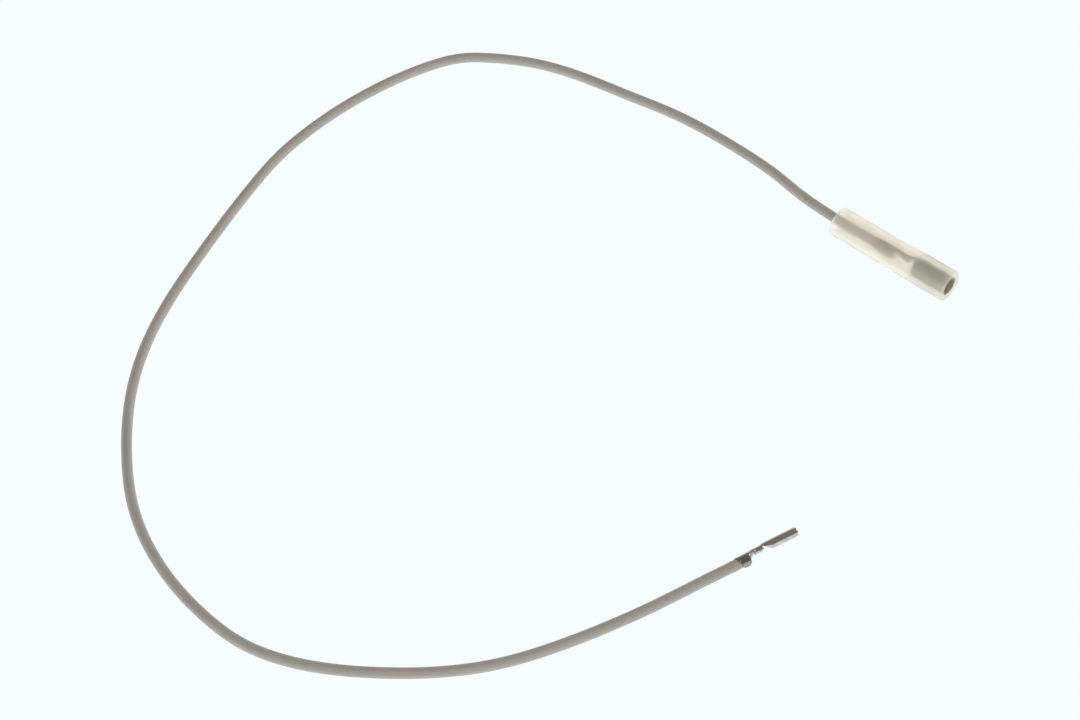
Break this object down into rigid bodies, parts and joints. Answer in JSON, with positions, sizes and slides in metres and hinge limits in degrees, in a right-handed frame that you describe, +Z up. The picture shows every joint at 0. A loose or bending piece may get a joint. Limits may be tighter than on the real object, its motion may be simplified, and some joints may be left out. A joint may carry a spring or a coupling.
{
  "type": "flame sensor probe",
  "caption": "Flame-sensing lead: a silicone wire with a sleeved round push-on receptacle for the electrode pin at one end and a small crimped socket contact at the other.",
  "frame": {"origin": "under the middle of the sleeve, on the surface that the lead lies on", "axes": "+X along the sleeve and out of its mouth, +Z up"},
  "size_m": [0.1724, 0.1913, 0.0078],
  "materials": {
    "sleeve_silicone": "milky, satin",
    "wire_silicone": "matt",
    "receptacle_metal": "tinned, satin",
    "contact_metal": "tinned, satin",
    "strand_copper": "tinned, bright"
  },
  "bodies": {
    "lead": {"receptacle": "receptacle_metal", "wire_insulation": "wire_silicone", "strand_01": "strand_copper", "strand_02": "strand_copper", "strand_03": "strand_copper", "strand_04": "strand_copper", "strand_05": "strand_copper", "strand_06": "strand_copper", "strand_07": "strand_copper", "strand_08": "strand_copper", "strand_09": "strand_copper", "strand_10": "strand_copper", "strand_11": "strand_copper", "strand_12": "strand_copper", "strand_13": "strand_copper", "strand_14": "strand_copper", "strand_15": "strand_copper", "strand_16": "strand_copper", "strand_17": "strand_copper", "strand_18": "strand_copper", "strand_19": "strand_copper", "contact": "contact_metal"},
    "sleeve": {"sleeve": "sleeve_silicone"}
  },
  "joints": [
    {"name": "sleeve_slide", "type": "slide", "parent": "lead", "child": "sleeve", "axis": [-1, 0, 0], "range_m": [0, 0.01]}
  ]
}
